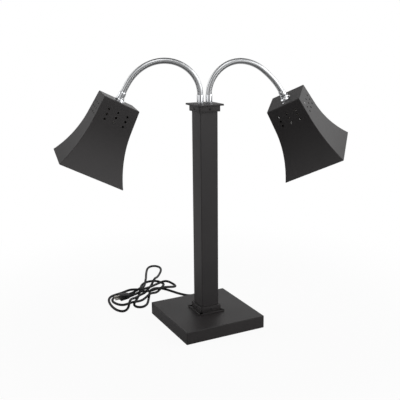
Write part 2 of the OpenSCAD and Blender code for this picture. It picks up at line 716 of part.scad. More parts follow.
// The gland: a collar through the wall, a flange outside, and a tapered boot
module cord_gland() color("#161616")
    translate([gland_x, base_w / 2, gland_z]) rotate([-90, 0, 0]) difference() {
    union() {
        translate([0, 0, -gland_in]) cylinder(r = gland_r, h = gland_in + eps, $fn = fine);
        cylinder(r = gland_r + 2.5, h = 3, $fn = fine);
        translate([0, 0, 3 - eps]) cylinder(r1 = gland_r, r2 = lead_r + 1, h = boot_l - 3 + eps, $fn = fine);
    }
    translate([0, 0, -gland_in - eps]) cylinder(r = lead_r, h = boot_l + gland_in + 2 * eps, $fn = fine);
}

// Smooth points through the route, and the ring of the lead at one of them
function blend_at(p, i, t) = let (
    n = len(p) - 1,
    a = i == 0 ? 2 * p[0] - p[1] : p[i - 1],
    c = p[min(i + 1, n)],
    d = i + 2 > n ? 2 * p[n] - p[n - 1] : p[i + 2])
    (pow(1 - t, 3) * a + (3 * pow(t, 3) - 6 * t * t + 4) * p[i]
        + (-3 * pow(t, 3) + 3 * t * t + 3 * t + 1) * c + pow(t, 3) * d) / 6;
POINTS = [for (p = ROUTE) [p[0], p[1], lead_r + lead_d * p[2]]];
plug_at = POINTS[len(POINTS) - 1];
plug_from = POINTS[len(POINTS) - 2];
plug_turned = atan2(plug_at[1] - plug_from[1], plug_at[0] - plug_from[0]);
// How sharply the route turns at a point, and the steps between rings, which are finer in bends
function turn_at(i) = i == 0 || i == len(POINTS) - 1 ? 0 :
    let (a = POINTS[i] - POINTS[i - 1], b = POINTS[i + 1] - POINTS[i]) acos(a * b / norm(a) / norm(b));
function steps_at(i) = max(turn_at(i), turn_at(i + 1)) > sharp_turn ? 2 : 1;
LEAD = concat(
    [for (i = [0:len(POINTS) - 2]) for (k = [0:steps_at(i) - 1]) blend_at(POINTS, i, k / steps_at(i))],
    [plug_at]);
function lead_ring(i) = let (
    n = len(LEAD) - 1,
    d = LEAD[min(i + 1, n)] - LEAD[max(i - 1, 0)],
    f = d / norm(d),
    s = [f[1], -f[0], 0] / norm([f[1], -f[0]]),
    u = cross(s, f))
    [for (j = [0:ring_sides - 1]) let (a = (j + 0.5) * 360 / ring_sides)
        LEAD[i] + lead_r * (cos(a) * s + sin(a) * u)];

module power_cord() color("#161616") {
    n = len(LEAD);
    m = ring_sides;
    polyhedron([for (i = [0:n - 1]) each lead_ring(i)], concat(
        [[for (j = [0:m - 1]) j]],
        [for (i = [0:n - 2]) for (j = [0:m - 1])
            let (a = i * m + j, b = i * m + (j + 1) % m, c = b + m, d = a + m) each [[a, c, b], [a, d, c]]],
        [[for (j = [m - 1:-1:0]) (n - 1) * m + j]]));
}

// The plug lies flat, its boot at the end of the lead and its pins beyond
module at_plug() translate(plug_at) rotate([0, 0, plug_turned]) children();

module plug_body() color("#141414") at_plug() {
    rotate([0, 90, 0]) cylinder(r1 = lead_r + 1, r2 = 7.5, h = plug_boot_l, $fn = fine);
    translate([plug_boot_l - eps, 0, 0]) intersection() {
        translate([0, -plug_w / 2, -plug_h / 2]) cube([plug_l, plug_w, plug_h]);
        translate([plug_l - 22, 0, -plug_h]) cylinder(r = 24, h = 2 * plug_h, $fn = fine);
    }
}

module plug_pins() color("#b9bbbe") at_plug() translate([plug_boot_l + plug_l - eps, 0, 0]) {
    for (y = [-6.35, 6.35]) translate([0, y - 0.75, -5.3]) cube([blade_l, 1.5, 6.3]);
    translate([0, 0, 5.5]) rotate([0, 90, 0]) cylinder(r = 2.4, h = blade_l + 2, $fn = fine);
}

module neck_of(side, k) in_neck_plane(side) neck_length(turns_of(side), k);

base_shell();
bottom_plate();
bottom_screws();
rubber_mat();
ballast_plate();
ballast_screws();
post();
foot_collar();
foot_flange_screws();
foot_collar_screws();
top_cap();
top_cap_screws();
lower_ferrule(-neck_x);  // left_lower_ferrule
lower_ferrule(neck_x);  // right_lower_ferrule
neck_lock_nuts();
for (s = SIDES) {
    for (k = [1:6]) neck_of(s, k);
    upper_ferrule(s);
    head_lock_nut(s);
    head_collar(s);
    shade(s);
    shade_screws(s);
    holder_bracket(s);
    lamp_holder(s);
    holder_shell(s);
    centre_contact(s);
    bulb_glass(s);
    bulb_cap(s);
    filament(s);
}
switch_housing();
switch_rocker();
terminal_block();
inner_leads();
cord_gland();
power_cord();
plug_body();
plug_pins();
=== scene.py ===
import math

import bmesh
import bpy
from mathutils import Matrix, Quaternion, Vector


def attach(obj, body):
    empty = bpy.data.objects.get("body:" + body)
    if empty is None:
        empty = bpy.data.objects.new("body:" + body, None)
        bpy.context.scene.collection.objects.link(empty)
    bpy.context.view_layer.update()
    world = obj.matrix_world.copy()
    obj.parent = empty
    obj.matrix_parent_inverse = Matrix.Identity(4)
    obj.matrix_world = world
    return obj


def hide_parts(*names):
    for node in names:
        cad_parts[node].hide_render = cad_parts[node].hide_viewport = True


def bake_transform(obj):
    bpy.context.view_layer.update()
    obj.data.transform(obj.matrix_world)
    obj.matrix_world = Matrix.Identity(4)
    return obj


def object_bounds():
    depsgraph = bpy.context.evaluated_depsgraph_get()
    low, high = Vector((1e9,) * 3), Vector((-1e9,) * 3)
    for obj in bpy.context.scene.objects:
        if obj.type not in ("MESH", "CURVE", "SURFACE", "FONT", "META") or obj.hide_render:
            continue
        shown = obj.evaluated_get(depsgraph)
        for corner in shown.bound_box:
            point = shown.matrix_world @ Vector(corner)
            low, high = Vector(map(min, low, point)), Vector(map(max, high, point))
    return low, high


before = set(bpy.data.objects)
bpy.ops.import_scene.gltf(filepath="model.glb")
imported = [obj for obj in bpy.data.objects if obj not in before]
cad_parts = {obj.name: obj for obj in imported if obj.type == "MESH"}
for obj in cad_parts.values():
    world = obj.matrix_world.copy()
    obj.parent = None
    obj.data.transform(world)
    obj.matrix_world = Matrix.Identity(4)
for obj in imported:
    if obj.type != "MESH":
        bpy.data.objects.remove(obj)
cad_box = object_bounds()

# Camera: it stands in front of the lamp and to its left, a little higher than the lamp's top, and
# looks down by 14 degrees, so that the shades, the base and the lead fill the frame.
camera = bpy.data.objects.new("camera", bpy.data.cameras.new("camera"))
bpy.context.scene.collection.objects.link(camera)
bpy.context.scene.camera = camera
camera.location = (-0.844, -1.645, 0.824)
camera.data.lens = 62.2
turned_left, looks_down, tipped = math.radians(-26.7), math.radians(14.13), math.radians(-0.57)
backwards = Vector(
    (
        math.sin(turned_left) * math.cos(looks_down),
        -math.cos(turned_left) * math.cos(looks_down),
        math.sin(looks_down),
    )
)
camera.rotation_mode = "QUATERNION"
camera.rotation_quaternion = (-backwards).to_track_quat("-Z", "Y") @ Quaternion((0, 0, 1), tipped)


# Mains lead: black PVC, 7.5 mm thick, from the gland in loose loops on the table behind the base.
# Each strand that crosses another rises over it in a long low hump.
class Field:
    """A socket that carries a value over a surface. Arithmetic on it adds Math nodes."""

    def __init__(self, nodes, socket):
        self.nodes = nodes
        self.socket = socket

    def maths(self, operation, first, second):
        settings = {"operation": operation}
        return self.nodes.node("ShaderNodeMath", settings, {0: first, 1: second})

    def __add__(self, other):
        return self.maths("ADD", self, other)

    def __rsub__(self, other):
        return self.maths("SUBTRACT", other, self)

    def __mul__(self, other):
        return self.maths("MULTIPLY", self, other)

    def __pow__(self, other):
        return self.maths("POWER", self, other)

    __radd__ = __add__
    __rmul__ = __mul__

    def above(self, least):
        """This value, but never less than the least."""
        return self.maths("MAXIMUM", self, least)

    def rise(self, low, high):
        """0 below low, 1 above high, and smooth between them."""
        settings = {"interpolation_type": "SMOOTHSTEP"}
        inputs = {"Value": self, "From Min": low, "From Max": high}
        return self.nodes.node("ShaderNodeMapRange", settings, inputs)


class Nodes:
    """A tree of shader nodes, which are added one at a time."""

    def __init__(self, tree):
        self.tree = tree

    def put(self, socket, value):
        """Links a field to a socket, or sets the socket's own value. A colour gets its alpha."""
        if isinstance(value, Field):
            self.tree.links.new(value.socket, socket)
            return
        if isinstance(value, tuple) and len(socket.default_value) == 4:
            value = (*value, 1)
        socket.default_value = value

    def node(self, kind, settings, inputs, output=0):
        """Adds a node, sets its settings and then its sockets, and returns one output."""
        made = self.tree.nodes.new(kind)
        for name, value in settings.items():
            setattr(made, name, value)
        for key, value in inputs.items():
            self.put(made.inputs[key], value)
        return None if output is None else Field(self, made.outputs[output])

    def towards(self, vector, direction):
        """How far a vector reaches in a direction."""
        settings = {"operation": "DOT_PRODUCT"}
        return self.node("ShaderNodeVectorMath", settings, {0: vector, 1: direction}, "Value")

    def ray(self, *kinds):
        """1 for these kinds of ray, such as Camera, and 0 for the others."""
        return sum(self.node("ShaderNodeLightPath", {}, {}, f"Is {kind} Ray") for kind in kinds)


class Finish(Nodes):
    """A surface finish on the Principled shader."""

    def __init__(self, name, **shader):
        self.material = bpy.data.materials.new(name)
        self.material.use_nodes = True
        super().__init__(self.material.node_tree)
        self.shader = self.tree.nodes["Principled BSDF"]
        for socket, value in shader.items():
            self.put(self.shader.inputs[socket.replace("_", " ")], value)

    def place(self):
        """Where a point is on the object, in metres."""
        return self.node("ShaderNodeTexCoord", {}, {}, "Object")

    def grain(self, scale, detail=2):
        """Soft noise from 0 to 1, with scale as its lumps per metre."""
        inputs = {"Vector": self.place(), "Scale": scale, "Detail": detail}
        return self.node("ShaderNodeTexNoise", {}, inputs)

    def blend(self, share, first, second):
        """The first colour turning into the second as share goes from 0 to 1."""
        # Inputs 6 and 7 of a Mix node are its two colours, and output 2 is their mix.
        colours = {0: share, 6: first, 7: second}
        return self.node("ShaderNodeMix", {"data_type": "RGBA"}, colours, 2)

    def colour(self, value):
        self.put(self.shader.inputs["Base Color"], value)

    def roughness(self, value):
        self.put(self.shader.inputs["Roughness"], value)

    def relief(self, height, depth, strength):
        """Bumps of this height field, depth metres deep."""
        inputs = {"Height": height, "Distance": depth, "Strength": strength}
        self.put(self.shader.inputs["Normal"], self.node("ShaderNodeBump", {}, inputs, "Normal"))


def dress(obj, finish, body, stands_for=()):
    """Gives a piece its finish, the body it rides on and the CAD nodes it stands for."""
    if not obj.data.materials:
        obj.data.materials.append(finish.material)
    if body:
        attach(obj, body)
    if stands_for:
        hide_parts(*stands_for)
    return obj


# The lead's route: x and y in millimetres, and how many thicknesses of the lead lie below it.
lead_d, gland_x, gland_z, plug_high = 0.0075, 0.048, 0.017, 0.020
from_gland, to_plug = gland_z / lead_d - 0.5, plug_high / 2 / lead_d - 0.5
ROUTE = [
    (48, 148, from_gland), (48, 157, from_gland),
    (45, 169, 0.95), (37, 181, 0.15), (26, 196, 0), (14, 217, 0),
    (5, 240, 0), (-4, 262, 0), (-14, 282, 0), (-30, 296, 0), (-48, 292, 0), (-62, 274, 0),
    (-73, 250, 0), (-85, 226, 0), (-97, 202, 0), (-110, 180, 0), (-128, 168, 0), (-146, 178, 0),
    (-146, 201, 0), (-130, 224, 0), (-113, 246, 0), (-99, 270, 0), (-85, 298, 0), (-69, 332, 0),
    (-49, 356, 0), (-22, 363, 0), (0, 348, 0.15), (6, 320, 0), (-4, 290, 1.1), (-24, 268, 1.15),
    (-48, 251, 0), (-74, 237, 1.85), (-100, 222, 0.15), (-126, 206, 0.55), (-152, 197, 1.55),
    (-175, 206, 0), (-191, 230, 0), (-195, 257, 0), (-184, 280, 0), (-160, 287, 0.1),
    (-132, 284, 0), (-106, 285, 0.65), (-80, 297, 1.65), (-60, 320, 0), (-43, 352, 1.9),
    (-28, 386, 0), (-14, 420, 0), (2, 454, 0), (20, 488, 0), (45, 500, 0), (63, 476, 0),
    (52, 440, 0), (31, 409, 0), (10, 380, 0), (-12, 350, 1.85), (-35, 322, 0), (-58, 295, 0.35),
    (-80, 269, 0), (-102, 248, 1.15), (-126, 231, 0.9), (-148, 213, 2.05), (-162, 191, 2.3),
    (-173, 170, 0.65), (-191, 162, 0), (-206, 178, 0.15), (-209, 207, 0), (-208, 236, 0),
    (-203, 264, 0), (-192, 289, 0.1), (-170, 302, 0), (-145, 301, 0.25), (-121, 288, 2.1),
    (-95, 278, 1.5), (-66, 284, 1.3), (-40, 298, 1.1), (-13, 311, 1.15), (14, 312, 1.85),
    (34, 299, 0), (34, 277, 0), (14, 265, 0.75), (-14, 261, 1.65), (-42, 258, 1.75),
    (-70, 258, 1.05), (-96, 262, 1.9),
    (-112, 262, to_plug), (-120, 262, to_plug),
]
LEAD_ROUTE = [Vector((x / 1000, y / 1000, lead_d * (layers + 0.5))) for x, y, layers in ROUTE]
first, second, *_, before_last, last = LEAD_ROUTE
lead_curve = bpy.data.curves.new("mains_lead", "CURVE")
lead_curve.dimensions = "3D"
lead_curve.bevel_depth = lead_d / 2
lead_curve.bevel_resolution = 5
lead_curve.use_fill_caps = True
# One more point past either end makes the smooth strand start and stop at the route's ends.
strand_points = [2 * first - second, *LEAD_ROUTE, 2 * last - before_last]
strand = lead_curve.splines.new("NURBS")
strand.points.add(len(strand_points) - 1)
for point, place in zip(strand.points, strand_points):
    point.co = (*place, 1)
strand.order_u = 4
strand.resolution_u = 9
mains_lead = bpy.data.objects.new("mains_lead", lead_curve)
bpy.context.scene.collection.objects.link(mains_lead)

pvc = Finish("black_pvc", Specular_IOR_Level=0.25)
dust = pvc.grain(60, 3)
pvc.colour(pvc.blend(dust.rise(0.35, 0.75), (0.006, 0.006, 0.0064), (0.011, 0.011, 0.0118)))
pvc.roughness(0.4 + 0.16 * pvc.grain(350))
pvc.relief(pvc.grain(1400, 1), 0.00008, 0.5)
dress(mains_lead, pvc, "stand", ["power_cord"])

# Plug: moulded black PVC with a ribbed boot, grips at its sides and three bare pins.
# It lies flat on the table at the lead's end.
touching = 1e-6  # corners nearer than this are one corner


def new_piece(name, bm, crease=30):
    """A mesh object from a bmesh, smooth apart from edges sharper than crease degrees."""
    mesh = bpy.data.meshes.new(name)
    bm.to_mesh(mesh)
    bm.free()
    mesh.shade_smooth()
    mesh.set_sharp_from_angle(angle=math.radians(crease))
    obj = bpy.data.objects.new(name, mesh)
    bpy.context.scene.collection.objects.link(obj)
    return obj


def block(low, high):
    """A box from its lowest to its highest corner."""
    bm = bmesh.new()
    low, high = Vector(low), Vector(high)
    middle = Matrix.LocRotScale((low + high) / 2, None, high - low)
    bmesh.ops.create_cube(bm, size=1, matrix=middle)
    return bm


def soften(bm, width, segments, sharper_than=30, where=None):
    """Rounds the edges that are sharper than an angle and, where a test is given, pass it."""
    edges = [
        edge
        for edge in bm.edges
        if len(edge.link_faces) == 2
        and edge.calc_face_angle() > math.radians(sharper_than)
        and (where is None or where(edge))
    ]
    bmesh.ops.bevel(
        bm, geom=edges, offset=width, offset_type="OFFSET", segments=segments, profile=0.5,
        affect="EDGES", material=-1, clamp_overlap=True,
    )
    return bm


def turned(outline, steps=64):
    """A shape turned about Z from its (radius, height) outline."""
    bm = bmesh.new()
    corners = [bm.verts.new((radius, 0, height)) for radius, height in outline]
    edges = [bm.edges.new(pair) for pair in zip(corners, corners[1:])]
    bmesh.ops.spin(
        bm, geom=corners + edges, cent=(0, 0, 0), axis=(0, 0, 1), angle=2 * math.pi, steps=steps,
        use_merge=True,
    )
    bmesh.ops.remove_doubles(bm, verts=bm.verts, dist=touching)
    bmesh.ops.recalc_face_normals(bm, faces=bm.faces)
    return bm


def gathered(*shapes):
    """Several shapes as one, each with the places where it is set down."""
    result = bmesh.new()
    for shape, places in shapes:
        pattern = bpy.data.meshes.new("pattern")
        shape.to_mesh(pattern)
        shape.free()
        for place in places:
            copy = pattern.copy()
            copy.transform(place)
            result.from_mesh(copy)
            bpy.data.meshes.remove(copy)
        bpy.data.meshes.remove(pattern)
    return result


here = [Matrix.Identity(4)]
along_x = Matrix.Rotation(math.radians(90), 4, "Y")
turned_over = Matrix.Rotation(math.pi, 4, "X")
plug_boot, plug_long, plug_wide = 0.016, 0.032, 0.026
lead_heading = math.atan2(last.y - before_last.y, last.x - before_last.x)
plug_place = Matrix.Translation(last) @ Matrix.Rotation(lead_heading, 4, "Z")

narrower, flatter, grip_round = 0.62, 0.8, 0.0032
plug_end = plug_boot + plug_long
grip = block((plug_boot, -plug_wide / 2, -plug_high / 2), (plug_end, plug_wide / 2, plug_high / 2))
for vert in grip.verts:
    if vert.co.x < plug_boot + 0.001:
        vert.co.y *= narrower
        vert.co.z *= flatter
soften(grip, grip_round, 4)

lead_bore = lead_d / 2 + 0.0001
boot_rings, boot_pitch, boot_r, boot_groove = 5, 0.0026, 0.0051, 0.0009
boot_outline = [(lead_bore, 0.0), (0.0047, 0.0)]
for ring in range(boot_rings):
    base, wide = boot_pitch * ring, boot_r + 0.0004 * ring
    boot_outline += [(wide, base + 0.0004), (wide, base + 0.0016)]
    boot_outline += [(wide - boot_groove, base + 0.0018), (wide - boot_groove, base + 0.0024)]
boot_outline += [(0.0072, 0.0134), (0.0075, 0.018), (0.0, 0.018)]

# The finger ribs stand 0.4 mm out of both sides of the grip.
finger_ribs, rib_pitch = 5, 0.0034
finger_rib = block((0.026, 0.0105, -0.0062), (0.0274, 0.0134, 0.0062))
soften(finger_rib, 0.0006, 2)
rib_places = [Matrix.Translation((rib_pitch * i, 0, 0)) for i in range(finger_ribs)]
rib_places += [turned_over @ place for place in rib_places]
plug = gathered((grip, here), (turned(boot_outline, 40), [along_x]), (finger_rib, rib_places))
plug.transform(plug_place)
plug = new_piece("plug", plug)

moulded = Finish("moulded_plug", Base_Color=(0.011, 0.011, 0.012), Specular_IOR_Level=0.45)
moulded.roughness(0.38 + 0.2 * moulded.grain(220))
moulded.relief(moulded.grain(1800, 1), 0.00008, 0.6)
dress(plug, moulded, "stand", ["plug_body"])

pin_start = plug_end - 0.0005
blade_long, blade_thick, blade_gap, earth_r, earth_long = 0.0165, 0.0015, 0.0127, 0.0024, 0.0186
blade = block(
    (pin_start, -blade_thick / 2, -0.0053), (pin_start + blade_long, blade_thick / 2, 0.001)
)
soften(blade, 0.0005, 2)
earth_outline = [(0, 0), (earth_r, 0), (earth_r, blade_long), (0.0019, earth_long - 0.0004)]
earth_outline += [(0.0008, earth_long), (0, earth_long)]
plug_pins = gathered(
    (blade, [Matrix.Translation((0, y, 0)) for y in (-blade_gap / 2, blade_gap / 2)]),
    (turned(earth_outline, 32), [Matrix.Translation((pin_start, 0, 0.0055)) @ along_x]),
)
plug_pins.transform(plug_place)
plug_pins = new_piece("plug_contacts", plug_pins)

nickel = Finish("nickel_plate", Base_Color=(0.55, 0.53, 0.49), Metallic=1.0)
nickel.roughness(0.24 + 0.16 * nickel.grain(240, 3))
dress(plug_pins, nickel, "stand", ["plug_pins"])

# Gland: a black rubber bush through the back wall, with a flange and a ribbed tapering boot
# that keeps the lead from bending sharply where it leaves the base.
base_half, bush_r, bush_long, gland_long = 0.12, 0.007, 0.006, 0.028
gland_rings, gland_pitch, gland_groove = 6, 0.0036, 0.001
gland_outline = [(lead_bore, -bush_long), (bush_r, -bush_long), (bush_r, 0), (0.0092, 0)]
gland_outline += [(0.0095, 0.0005), (0.0095, 0.0025), (0.0088, 0.003), (0.0071, 0.0032)]
for ring in range(gland_rings):
    base, wide = 0.0042 + gland_pitch * ring, bush_r - 0.0003 * ring
    gland_outline += [(wide - gland_groove, base), (wide - gland_groove, base + 0.0009)]
    gland_outline += [(wide, base + 0.0012), (wide, base + 0.0033)]
gland_outline += [(0.0049, 0.0262), (0.0047, 0.0277), (0.0043, gland_long)]
gland_outline += [(lead_bore, gland_long), (lead_bore, -bush_long)]
gland = turned(gland_outline, 48)
out_of_the_back = Matrix.Rotation(math.radians(-90), 4, "X")
gland.transform(Matrix.Translation((gland_x, base_half, gland_z)) @ out_of_the_back)
gland = new_piece("gland", gland)

rubber = Finish("black_rubber", Specular_IOR_Level=0.3)
bloom = rubber.grain(140, 4)
rubber.colour(rubber.blend(bloom, (0.009, 0.009, 0.009), (0.018, 0.0175, 0.017)))
rubber.roughness(0.6 + 0.2 * bloom)
rubber.relief(rubber.grain(1500, 1), 0.0001, 0.5)
dress(gland, rubber, "stand", ["cord_gland"])

# Base: a shallow box of folded 1.5 mm steel, open below, welded at its corners and powder-coated
# in satin black. The back wall has an opening for the rocker switch.
base_low, base_top, base_sheet, base_corner, base_fold = 0.0015, 0.0365, 0.0015, 0.002, 0.0016
switch_x, switch_z, switch_w, switch_h = -0.06, 0.01975, 0.019, 0.013


def upright(edge):
    """Whether an edge of a block runs up and down."""
    return abs(edge.verts[0].co.z - edge.verts[1].co.z) > 0.0001


def sheet_metal(obj, thickness):
    """Gives a folded piece its wall, inwards. Its flat faces shade flat up to their round folds."""
    wall = obj.modifiers.new("wall", "SOLIDIFY")
    wall.thickness, wall.offset = thickness, -1
    walled = obj.evaluated_get(bpy.context.evaluated_depsgraph_get())
    obj.data = bpy.data.meshes.new_from_object(walled)
    obj.modifiers.clear()
    obj.data.set_sharp_from_angle(angle=math.radians(30))
    obj.modifiers.new("flat_faces", "WEIGHTED_NORMAL").keep_sharp = True


def powder_coat(name, dark, light, rough):
    """Satin black powder coat: a fine orange-peel skin with slow changes in tone and gloss."""
    finish = Finish(name, Specular_IOR_Level=0.42)
    slow = finish.grain(9, 3)
    finish.colour(finish.blend(slow.rise(0.3, 0.7), dark, light))
    finish.roughness(rough + 0.1 * slow + 0.06 * finish.grain(400))
    finish.relief(finish.grain(850), 0.00012, 0.45)
    return finish


cover = block((-base_half, -base_half, base_low), (base_half, base_half, base_top))
underside = [face for face in cover.faces if face.normal.z < -0.5]
bmesh.ops.delete(cover, geom=underside, context="FACES")
soften(cover, base_corner, 5, where=upright)
soften(cover, base_fold, 4, where=lambda edge: min(v.co.z for v in edge.verts) > base_top - 0.001)
cuts = [((x, 0, 0), (1, 0, 0)) for x in (switch_x - switch_w / 2, switch_x + switch_w / 2)]
cuts += [((0, 0, z), (0, 0, 1)) for z in (switch_z - switch_h / 2, switch_z + switch_h / 2)]
for place, normal in cuts:
    back_wall = [face for face in cover.faces if face.normal.y > 0.99]
    edges = {edge for face in back_wall for edge in face.edges}
    verts = {vert for face in back_wall for vert in face.verts}
    cut = [*verts, *edges, *back_wall]
    bmesh.ops.bisect_plane(cover, geom=cut, plane_co=place, plane_no=normal)
opening = [
    face
    for face in cover.faces
    if face.normal.y > 0.99
    and abs(face.calc_center_median().x - switch_x) < switch_w / 2
    and abs(face.calc_center_median().z - switch_z) < switch_h / 2
]
bmesh.ops.delete(cover, geom=opening, context="FACES")
cover = new_piece("base_cover", cover)
sheet_metal(cover, base_sheet)
black_coat = powder_coat(
    "black_powder_coat", (0.0222, 0.0197, 0.0201), (0.0258, 0.0229, 0.0233), rough=0.4
)
dress(cover, black_coat, "stand", ["base_shell"])

# Inside the base: a zinc-plated bottom plate on four corner studs, a slab of raw steel as ballast,
# and the screws that hold them. They show from below only.
mat_thick, stud_at, ballast_screw_at = 0.003, 0.108, 0.07
stud_bore, stud_r, stud_low, stud_high = 0.0017, 0.005, 0.0046, 0.0349


def as_made(node, name, finish, body="stand"):
    """A CAD part in its own shape, with its faces merged so that its round walls shade smoothly."""
    bm = bmesh.new()
    bm.from_mesh(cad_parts[node].data)
    bmesh.ops.remove_doubles(bm, verts=bm.verts, dist=touching)
    return dress(new_piece(name, bm), finish, body, [node])


def four(at, height):
    """Four places at this distance to either side of the middle, and at a height."""
    return [Matrix.Translation((x, y, height)) for x in (-at, at) for y in (-at, at)]


def socket_screw(head, shank, long, rise):
    """A screw that points down, with a domed head from z = 0 up and a six-sided socket in it."""
    key = 0.42 * head
    outline = [(0, rise * 0.3), (key, rise * 0.3), (key, rise * 0.96), (key * 1.25, rise)]
    for degrees in (55, 35, 15, 0):
        a = math.radians(degrees)
        outline.append((head * math.cos(a), rise * math.sin(a)))
    outline += [(shank, 0), (shank, -long), (0, -long)]
    bm = turned(outline, 36)
    # The socket's round rings are drawn in to six flats.
    for vert in bm.verts:
        radius = math.hypot(vert.co.x, vert.co.y)
        if abs(radius - key) < 1e-5 and vert.co.z > 0:
            from_flat = math.degrees(math.atan2(vert.co.y, vert.co.x)) % 60 - 30
            vert.co.xy *= math.cos(math.radians(30)) / math.cos(math.radians(from_flat))
    return bm


zinc = Finish("zinc_plate", Metallic=1.0)
spangle = zinc.node("ShaderNodeTexVoronoi", {}, {"Vector": zinc.place(), "Scale": 130.0}, "Color")
patch = zinc.node("ShaderNodeSeparateColor", {}, {0: spangle})
zinc.colour(zinc.blend(patch, (0.42, 0.43, 0.45), (0.56, 0.57, 0.59)))
zinc.roughness(0.34 + 0.16 * patch)
raw_steel = Finish("raw_steel", Metallic=0.8)
mill = raw_steel.grain(45, 5)
raw_steel.colour(raw_steel.blend(mill.rise(0.3, 0.7), (0.09, 0.088, 0.085), (0.17, 0.16, 0.15)))
raw_steel.roughness(0.5 + 0.25 * mill)
raw_steel.relief(raw_steel.grain(500, 3), 0.0002, 0.5)

as_made("bottom_plate", "base_bottom", zinc)
as_made("ballast_plate", "ballast", raw_steel)
stud_outline = [(stud_bore, stud_low), (stud_r, stud_low)]
stud_outline += [(stud_r, stud_high), (stud_bore, stud_high)]
corner_studs = new_piece("corner_studs", gathered((turned(stud_outline, 32), four(stud_at, 0))))
dress(corner_studs, raw_steel, "stand")
for node, name, at, long in (
    ("bottom_screws", "bottom_plate_screws", stud_at, 0.010),
    ("ballast_screws", "ballast_plate_screws", ballast_screw_at, 0.008),
):
    pointing_up = [place @ turned_over for place in four(at, mat_thick)]
    screw = socket_screw(head=0.0038, shank=0.002, long=long, rise=0.0016)
    screws = new_piece(name, gathered((screw, pointing_up)))
    dress(screws, zinc, "stand", [node])
as_made("foot_flange_screws", "flange_screws", zinc)

# Mat: a sheet of 3 mm rubber glued below the bottom plate, which keeps the lamp from sliding.
# It has a hole round the head of each ballast screw.
as_made("rubber_mat", "mat", rubber)


# Rocker switch: a black nylon frame with a raised lip, clipped into the back wall, and a glossy
# rocker on two stub pins in it.
def open_through(bm, axis, wall):
    """Opens a block through its middle along Y (1) or Z (2), with this wall round the hole."""
    ends = [face for face in bm.faces if abs(face.normal[axis]) > 0.9]
    bmesh.ops.inset_individual(bm, faces=ends, thickness=wall)
    middles = []
    for face in bm.faces:
        aside = face.calc_center_median()
        aside[axis] = 0
        if abs(face.normal[axis]) > 0.9 and aside.length < wall / 2:
            middles.append(face)
    rims = [edge for face in middles for edge in face.edges]
    bmesh.ops.delete(bm, geom=middles, context="FACES_ONLY")
    bmesh.ops.bridge_loops(bm, edges=rims)


nylon = Finish("black_nylon", Base_Color=(0.014, 0.014, 0.014), Specular_IOR_Level=0.45)
nylon.roughness(0.5 + 0.15 * nylon.grain(300))
nylon.relief(nylon.grain(2200, 1), 0.00006, 0.6)
gloss_black = Finish(
    "glossy_rocker", Base_Color=(0.02, 0.02, 0.021), Coat_Weight=0.4, Coat_Roughness=0.08
)
gloss_black.roughness(0.2 + 0.1 * gloss_black.grain(160))
as_made("switch_housing", "switch_frame", nylon)
lip_w, lip_h, lip_low, lip_high, lip_rim = 0.022, 0.016, 0.0019, 0.0023, 0.0018
lip = block((-lip_w / 2, lip_low, -lip_h / 2), (lip_w / 2, lip_high, lip_h / 2))
open_through(lip, 1, lip_rim)
soften(lip, 0.00015, 2)
lip.transform(Matrix.Translation((switch_x, base_half, switch_z)))
dress(new_piece("switch_lip", lip), nylon, "stand")
as_made("switch_rocker", "rocker_key", gloss_black, "rocker")

# Terminal block: white nylon, on the bottom plate inside the base. Grey insulated leads run to it
# from the gland and the switch, and from it up the post.
nylon_white = Finish("white_nylon", Specular_IOR_Level=0.45)
nylon_white.colour(
    nylon_white.blend(nylon_white.grain(90), (0.72, 0.70, 0.62), (0.62, 0.60, 0.52))
)
nylon_white.roughness(0.42 + 0.14 * nylon_white.grain(260))
as_made("terminal_block", "terminals", nylon_white)
sleeving = Finish("lead_sleeving", Base_Color=(0.06, 0.062, 0.066))
sleeving.roughness(0.45 + 0.15 * sleeving.grain(500))
as_made("inner_leads", "leads_inside", sleeving)

# Post: a square steel tube, 52 mm wide, with 1.5 mm walls and round corners, powder-coated.
# It stands in the foot collar, and the cap closes its upper end.
post_half, post_top, post_corner, post_wall = 0.026, 0.6207, 0.002, 0.0015
tube = block((-post_half, -post_half, base_top), (post_half, post_half, post_top))
ends = [face for face in tube.faces if abs(face.normal.z) > 0.5]
bmesh.ops.delete(tube, geom=ends, context="FACES")
soften(tube, post_corner, 6, where=upright)
tube = new_piece("post_tube", tube)
sheet_metal(tube, post_wall)
post_coat = powder_coat(
    "post_powder_coat", (0.0248, 0.0226, 0.0231), (0.0295, 0.0267, 0.0272), rough=0.42
)
dress(tube, post_coat, "stand", ["post"])

# Collars: cast in one with their flange and powder-coated with the rest. The foot collar stands on
# the base, and the same collar upside down, with a roof, caps the post. A screw sits in each face.
flange_half, flange_t, collar_half, collar_h = 0.0385, 0.0045, 0.0315, 0.020
hole_half, cap_top = 0.0264, 0.624


def collar_ring(half, low, high, corner, hole, rim):
    """A square ring with round corners and softened rims. A hole of 0 makes it a plate."""
    ring = block((-half, -half, low), (half, half, high))
    soften(ring, corner, 5, where=upright)
    if hole:
        open_through(ring, 2, half - hole)
    soften(ring, rim, 3, sharper_than=60)
    bmesh.ops.recalc_face_normals(ring, faces=ring.faces)
    return ring


def collar_casting(flange_hole):
    """A collar that stands on its flange. The cap's flange has no hole, because it is the roof."""
    flange = collar_ring(flange_half, 0, flange_t, corner=0.002, hole=flange_hole, rim=0.0007)
    ring_low = flange_t - 0.0005
    ring = collar_ring(collar_half, ring_low, collar_h, corner=0.003, hole=hole_half, rim=0.0009)
    return gathered((flange, here), (ring, here))


